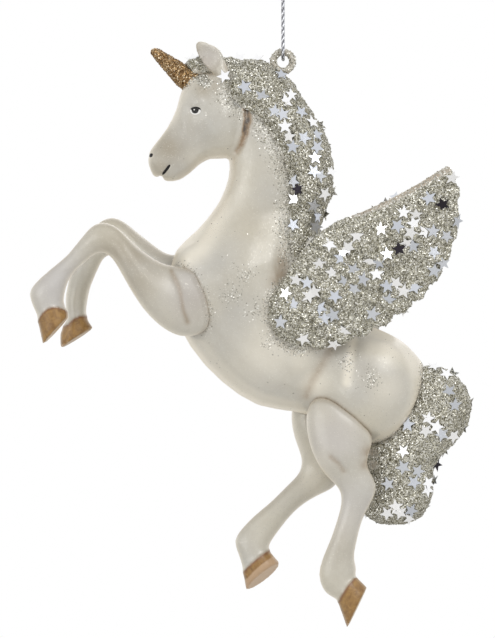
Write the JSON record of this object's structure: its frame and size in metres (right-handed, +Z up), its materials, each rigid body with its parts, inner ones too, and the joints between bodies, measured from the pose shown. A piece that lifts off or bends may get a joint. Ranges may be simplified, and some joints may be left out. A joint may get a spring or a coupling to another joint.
{
  "type": "winged unicorn hanging ornament",
  "caption": "Rearing winged unicorn figure in pearl paint with glitter-coated wings, mane and tail, hanging from a metallic cord loop through an eye in its crest.",
  "frame": {"origin": "where the knot of the cord loop rests on a hook, straight above the hanging eye", "axes": "+Z up along the hanging cord, -X the way the figure faces, -Y towards its near side"},
  "size_m": [0.1057, 0.0508, 0.1778],
  "materials": {
    "pearl_paint": "pearl cream paint on cast resin, tan in the creases, bronze hooves",
    "glitter_coat": "champagne silver glitter with mirror star sequins on cast resin",
    "gold_glitter": "old gold glitter on cast resin",
    "pin_wire": "plain drawn wire",
    "metallic_cord": "twisted silver metallic cord"
  },
  "bodies": {
    "cord": {"hang_cord": "metallic_cord", "cord_knot": "metallic_cord"},
    "ornament": {"body_casting": "pearl_paint", "near_foreleg": "pearl_paint", "far_foreleg": "pearl_paint", "near_hind_leg": "pearl_paint", "far_hind_leg": "pearl_paint", "near_wing": "glitter_coat", "far_wing": "glitter_coat", "mane": "glitter_coat", "tail": "glitter_coat", "horn": "gold_glitter", "hanging_eye": "glitter_coat", "near_foreleg_pin": "pin_wire", "far_foreleg_pin": "pin_wire", "near_hind_pin": "pin_wire", "far_hind_pin": "pin_wire", "near_wing_front_pin": "pin_wire", "near_wing_rear_pin": "pin_wire", "far_wing_front_pin": "pin_wire", "far_wing_rear_pin": "pin_wire", "tail_pin": "pin_wire", "horn_pin": "pin_wire"}
  },
  "joints": [
    {"name": "eye_swing", "type": "hinge", "parent": "cord", "child": "ornament", "pos_m": [0, 0, -0.036], "axis": [0, 1, 0], "range_deg": [-60, 60]}
  ]
}
